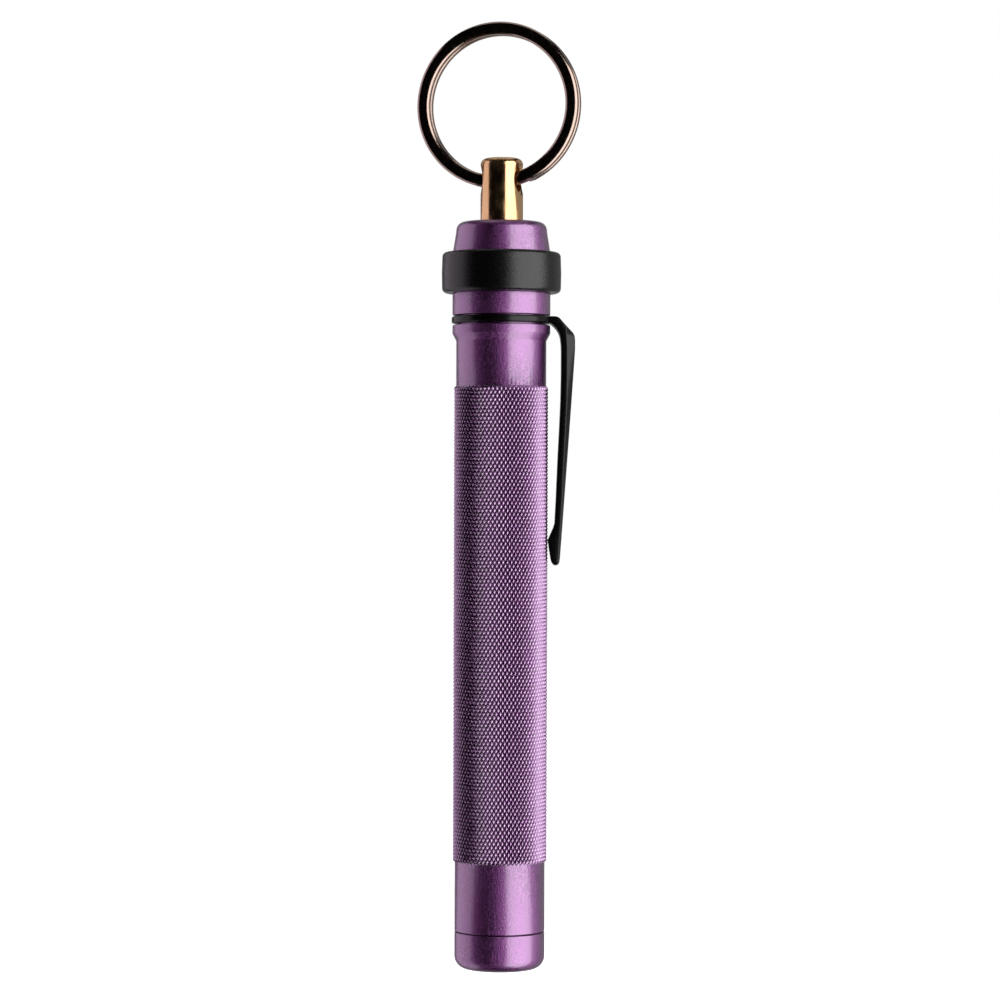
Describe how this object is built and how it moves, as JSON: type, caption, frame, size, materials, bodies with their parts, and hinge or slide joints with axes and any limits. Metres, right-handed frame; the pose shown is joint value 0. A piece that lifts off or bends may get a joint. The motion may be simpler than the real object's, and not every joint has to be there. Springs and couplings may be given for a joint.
{
  "type": "keychain flashlight",
  "caption": "Slim knurled penlight for two small cells, with a twist head, screw-on tail cap, rubber grip ring, side spring clip and a split ring on a swivelling brass stud.",
  "frame": {"origin": "centre of the bezel's flat front face, on the barrel's axis, where the light stands", "axes": "+Z along the barrel's axis from the bezel to the key ring, +X towards the pocket clip"},
  "size_m": [0.025, 0.0182, 0.1444],
  "materials": {
    "anodised_barrel": "satin purple anodising over a diamond knurl",
    "anodised_bezel": "satin purple anodising over fine turning marks",
    "anodised_cap": "satin purple anodising over fine turning marks",
    "seal_rubber": "smooth black nitrile",
    "grip_rubber": "moulded black silicone, satin",
    "lens_glass": "clear flat glass",
    "reflector_metal": "bright vapour-coated bowl",
    "emitter_phosphor": "clear dome over yellow phosphor",
    "board_white": "white solder mask on a metal board",
    "sink_brass": "plain turned brass",
    "chip_plastic": "moulded black epoxy",
    "board_green": "green solder mask",
    "insulator_plastic": "natural nylon",
    "contact_brass": "gold-flashed brass",
    "cell_steel": "nickel-plated steel",
    "cell_jacket": "plain shrink sleeve over a metal can",
    "spring_steel": "bright spring steel",
    "stud_brass": "turned brass, lightly tarnished",
    "washer_brass": "plain brass",
    "ring_black_nickel": "black-nickel plated spring steel",
    "clip_black": "black oxide, satin"
  },
  "bodies": {
    "barrel": {"barrel": "anodised_barrel"},
    "core": {"led_emitter": "emitter_phosphor", "led_board": "board_white", "heat_sink": "sink_brass", "driver_parts": "chip_plastic", "driver_board": "board_green", "contact_insulator": "insulator_plastic", "front_contact": "contact_brass", "front_cell_cap": "cell_steel", "front_cell": "cell_jacket", "rear_cell_cap": "cell_steel", "rear_cell": "cell_jacket"},
    "head": {"bezel": "anodised_bezel", "lens_gasket": "seal_rubber", "lens": "lens_glass", "reflector": "reflector_metal", "head_o_ring": "seal_rubber"},
    "tail_contact": {"tail_spring": "spring_steel", "spring_seat": "contact_brass"},
    "tail": {"tail_cap": "anodised_cap", "tail_o_ring": "seal_rubber", "grip_ring": "grip_rubber", "swivel_washer": "washer_brass"},
    "swivel": {"swivel_stud": "stud_brass", "retaining_clip": "spring_steel"},
    "key_ring": {"key_ring": "ring_black_nickel"},
    "clip_band": {"clip_band": "clip_black"},
    "clip_arm": {"clip_arm": "clip_black"}
  },
  "joints": [
    {"name": "core_slide", "type": "slide", "parent": "barrel", "child": "core", "axis": [0, 0, -1], "range_m": [-0.00012, 0.0076], "deforming": ["tail_spring"]},
    {"name": "head_twist", "type": "hinge", "parent": "core", "child": "head", "pos_m": [0, 0, 0.0058], "axis": [0, 0, -1], "range_deg": [-55, 3420.5]},
    {"name": "tail_slide", "type": "slide", "parent": "barrel", "child": "tail_contact", "axis": [0, 0, 1], "range_m": [0, 0.0076]},
    {"name": "tail_twist", "type": "hinge", "parent": "tail_contact", "child": "tail", "pos_m": [0, 0, 0.0981], "axis": [0, 0, 1], "range_deg": [0, 3420.5]},
    {"name": "stud_swivel", "type": "hinge", "parent": "tail", "child": "swivel", "pos_m": [0, 0, 0.1139], "axis": [0, 0, 1], "continuous": true},
    {"name": "ring_swing", "type": "hinge", "parent": "swivel", "child": "key_ring", "pos_m": [0, 0, 0.1203], "axis": [0.9659, -0.2588, 0], "range_deg": [-140, 140]},
    {"name": "clip_turn", "type": "hinge", "parent": "barrel", "child": "clip_band", "pos_m": [0, 0, 0.0989], "axis": [0, 0, 1], "continuous": true},
    {"name": "clip_flex", "type": "hinge", "parent": "clip_band", "child": "clip_arm", "pos_m": [0.00833, 0, 0.09942], "axis": [0, -1, 0], "range_deg": [0, 6], "stiffness_Nm_per_rad": 1.5, "springref_deg": -1.15}
  ],
  "couplings": [
    {"joint": "head_twist", "follows": "core_slide", "rad_per_m": 7854},
    {"joint": "tail_twist", "follows": "tail_slide", "rad_per_m": 7854}
  ]
}
